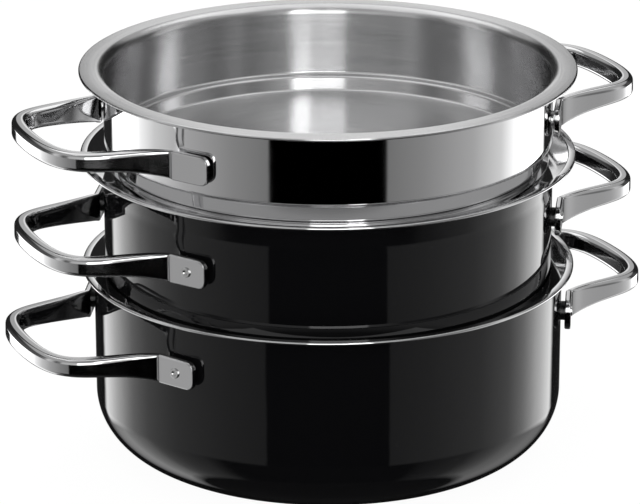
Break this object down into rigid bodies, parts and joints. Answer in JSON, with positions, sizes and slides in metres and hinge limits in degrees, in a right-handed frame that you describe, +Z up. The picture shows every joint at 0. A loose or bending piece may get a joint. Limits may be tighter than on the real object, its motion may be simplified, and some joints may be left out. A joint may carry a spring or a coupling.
{
  "type": "steamer pot",
  "caption": "Stacking steamer pot: deep enamelled base pot, shallow enamelled middle vessel and perforated steel steaming insert, each with two loop handles.",
  "frame": {"origin": "centre of the base pot's underside, on the plane it stands on", "axes": "+X through the right hand handles, +Z up the axis of the vessels"},
  "size_m": [0.3446, 0.2554, 0.2036],
  "materials": {
    "black_enamel": "glossy glass enamel on steel",
    "black_boss": "black enamelled steel boss",
    "polished_steel": "mirror polished stainless steel",
    "drawn_steel": "mirror polished outside, brushed in rings inside",
    "cast_steel": "polished cast stainless steel",
    "stud_steel": "satin stainless steel"
  },
  "bodies": {
    "base_pot": {"base_body": "black_enamel", "base_rim": "polished_steel", "base_handle_left": "cast_steel", "base_handle_right": "cast_steel", "base_spacers_left": "black_boss", "base_spacers_right": "black_boss", "base_studs_left": "stud_steel", "base_studs_right": "stud_steel"},
    "middle_vessel": {"middle_body": "black_enamel", "middle_rim": "polished_steel", "middle_handle_left": "cast_steel", "middle_handle_right": "cast_steel", "middle_spacers_left": "black_boss", "middle_spacers_right": "black_boss", "middle_studs_left": "stud_steel", "middle_studs_right": "stud_steel"},
    "steam_insert": {"insert_shell": "drawn_steel", "insert_handle_left": "cast_steel", "insert_handle_right": "cast_steel", "insert_weld_buttons_left": "stud_steel", "insert_weld_buttons_right": "stud_steel"}
  },
  "joints": [
    {"name": "middle_lift", "type": "slide", "parent": "base_pot", "child": "middle_vessel", "axis": [0, 0, 1], "range_m": [0, 0.06]},
    {"name": "insert_lift", "type": "slide", "parent": "middle_vessel", "child": "steam_insert", "axis": [0, 0, 1], "range_m": [0, 0.06]}
  ]
}
